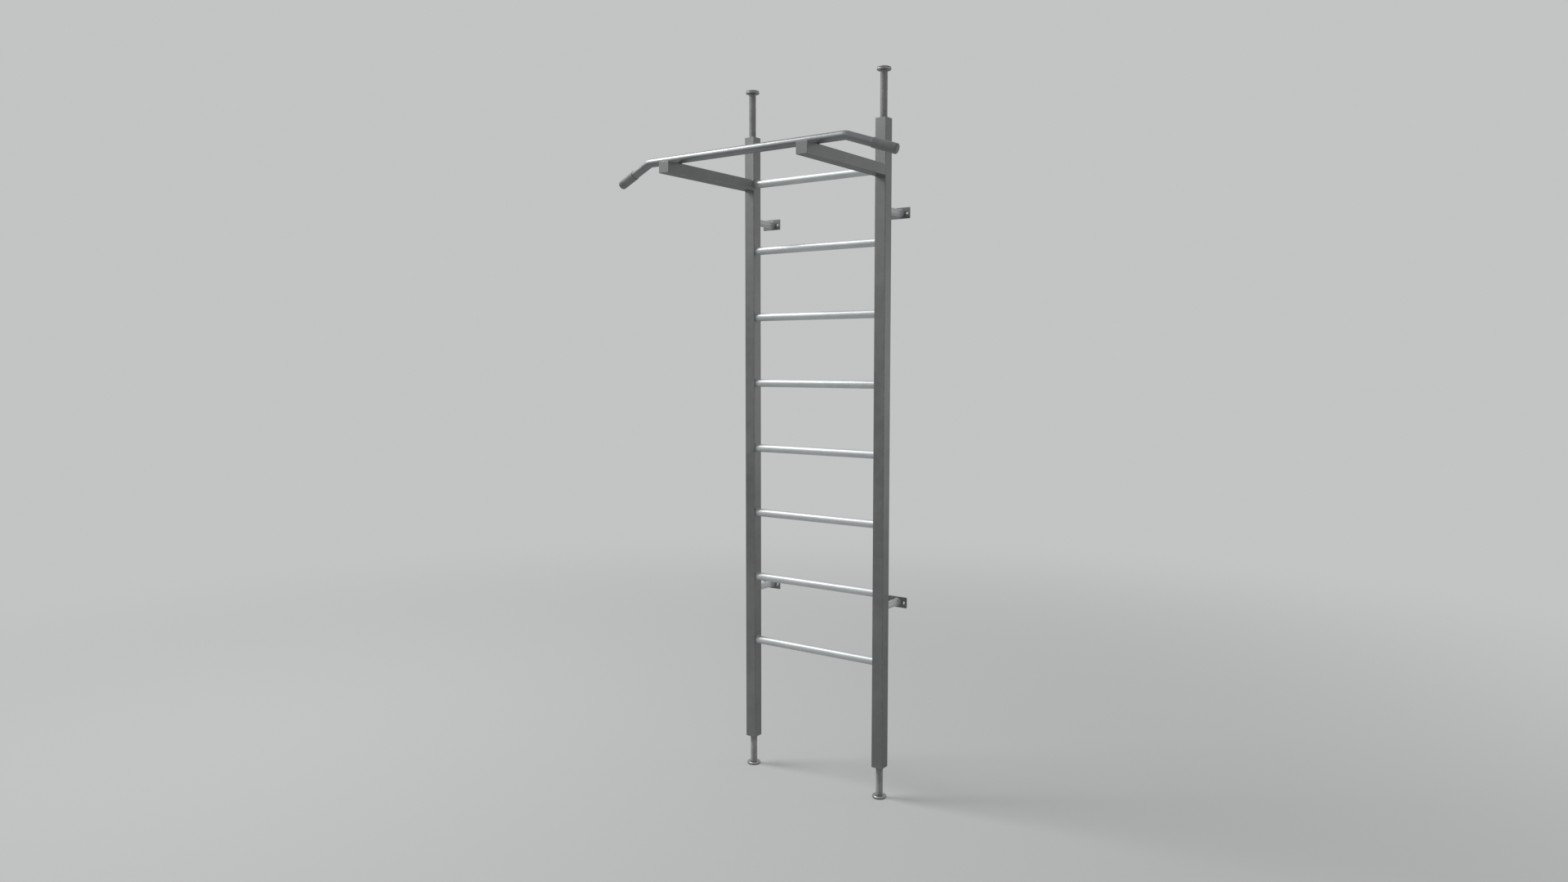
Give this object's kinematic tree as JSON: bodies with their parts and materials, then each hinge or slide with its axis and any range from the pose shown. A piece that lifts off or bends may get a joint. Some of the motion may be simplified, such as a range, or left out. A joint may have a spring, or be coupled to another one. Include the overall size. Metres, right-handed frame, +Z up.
{
  "type": "gymnastic wall bars",
  "caption": "Steel wall-bar ladder jacked between floor and ceiling by screw spindles, with a bent pull-up bar on two arms and stand-off plates for the wall.",
  "frame": {"origin": "on the floor, midway between the posts, and midway between the arms' front ends and the wall", "axes": "+Z up, +X along the rungs to the right seen from the room, +Y from the room towards the wall"},
  "size_m": [1.0636, 0.5774, 2.39],
  "materials": {
    "posts": "satin metallic grey powder coat",
    "rungs": "satin silver powder coat",
    "arms": "satin metallic grey powder coat",
    "bar": "satin metallic grey powder coat",
    "standoffs": "satin silver powder coat",
    "plates": "satin metallic grey powder coat",
    "grips": "fine-grained grey plastic",
    "spindles": "dull zinc-plated rolled thread",
    "bushes": "plain machined steel",
    "rings": "blackened spring steel",
    "pads": "dull zinc-plated, turned",
    "facings": "matt"
  },
  "bodies": {
    "ladder_frame": {"left_post": "posts", "right_post": "posts", "rung_1": "rungs", "rung_2": "rungs", "rung_3": "rungs", "rung_4": "rungs", "rung_5": "rungs", "rung_6": "rungs", "rung_7": "rungs", "rung_8": "rungs", "left_arm": "arms", "left_arm_end_plate": "arms", "left_grip_sleeve": "grips", "right_arm": "arms", "right_arm_end_plate": "arms", "right_grip_sleeve": "grips", "pull_up_bar": "bar", "lower_left_bush": "bushes", "lower_left_standoff": "standoffs", "lower_left_wall_plate": "plates", "lower_right_bush": "bushes", "lower_right_standoff": "standoffs", "lower_right_wall_plate": "plates", "upper_left_bush": "bushes", "upper_left_standoff": "standoffs", "upper_left_wall_plate": "plates", "upper_right_bush": "bushes", "upper_right_standoff": "standoffs", "upper_right_wall_plate": "plates"},
    "lower_left_pad": {"lower_left_pad_disc": "pads", "lower_left_pad_rubber": "facings"},
    "lower_left_spindle": {"lower_left_spindle_rod": "spindles", "lower_left_retaining_ring": "rings"},
    "lower_right_pad": {"lower_right_pad_disc": "pads", "lower_right_pad_rubber": "facings"},
    "lower_right_spindle": {"lower_right_spindle_rod": "spindles", "lower_right_retaining_ring": "rings"},
    "upper_left_pad": {"upper_left_pad_disc": "pads", "upper_left_pad_rubber": "facings"},
    "upper_left_spindle": {"upper_left_spindle_rod": "spindles", "upper_left_retaining_ring": "rings"},
    "upper_right_pad": {"upper_right_pad_disc": "pads", "upper_right_pad_rubber": "facings"},
    "upper_right_spindle": {"upper_right_spindle_rod": "spindles", "upper_right_retaining_ring": "rings"}
  },
  "joints": [
    {"name": "lower_left_pad_travel", "type": "slide", "parent": "ladder_frame", "child": "lower_left_pad", "axis": [0, 0, 1], "range_m": [0, 0.09]},
    {"name": "lower_left_spindle_turn", "type": "hinge", "parent": "lower_left_pad", "child": "lower_left_spindle", "pos_m": [-0.263, 0.17425, 0.009], "axis": [0, 0, 1], "range_deg": [0, 10800]},
    {"name": "lower_right_pad_travel", "type": "slide", "parent": "ladder_frame", "child": "lower_right_pad", "axis": [0, 0, 1], "range_m": [0, 0.09]},
    {"name": "lower_right_spindle_turn", "type": "hinge", "parent": "lower_right_pad", "child": "lower_right_spindle", "pos_m": [0.263, 0.17425, 0.009], "axis": [0, 0, 1], "range_deg": [0, 10800]},
    {"name": "upper_left_pad_travel", "type": "slide", "parent": "ladder_frame", "child": "upper_left_pad", "axis": [0, 0, 1], "range_m": [-0.14, 0.03]},
    {"name": "upper_left_spindle_turn", "type": "hinge", "parent": "upper_left_pad", "child": "upper_left_spindle", "pos_m": [-0.263, 0.17425, 2.381], "axis": [0, 0, 1], "range_deg": [-16800, 3600]},
    {"name": "upper_right_pad_travel", "type": "slide", "parent": "ladder_frame", "child": "upper_right_pad", "axis": [0, 0, 1], "range_m": [-0.14, 0.03]},
    {"name": "upper_right_spindle_turn", "type": "hinge", "parent": "upper_right_pad", "child": "upper_right_spindle", "pos_m": [0.263, 0.17425, 2.381], "axis": [0, 0, 1], "range_deg": [-16800, 3600]}
  ],
  "couplings": [
    {"joint": "lower_left_pad_travel", "follows": "lower_left_spindle_turn", "m_per_rad": 0.00047746},
    {"joint": "lower_right_pad_travel", "follows": "lower_right_spindle_turn", "m_per_rad": 0.00047746},
    {"joint": "upper_left_pad_travel", "follows": "upper_left_spindle_turn", "m_per_rad": 0.00047746},
    {"joint": "upper_right_pad_travel", "follows": "upper_right_spindle_turn", "m_per_rad": 0.00047746}
  ]
}
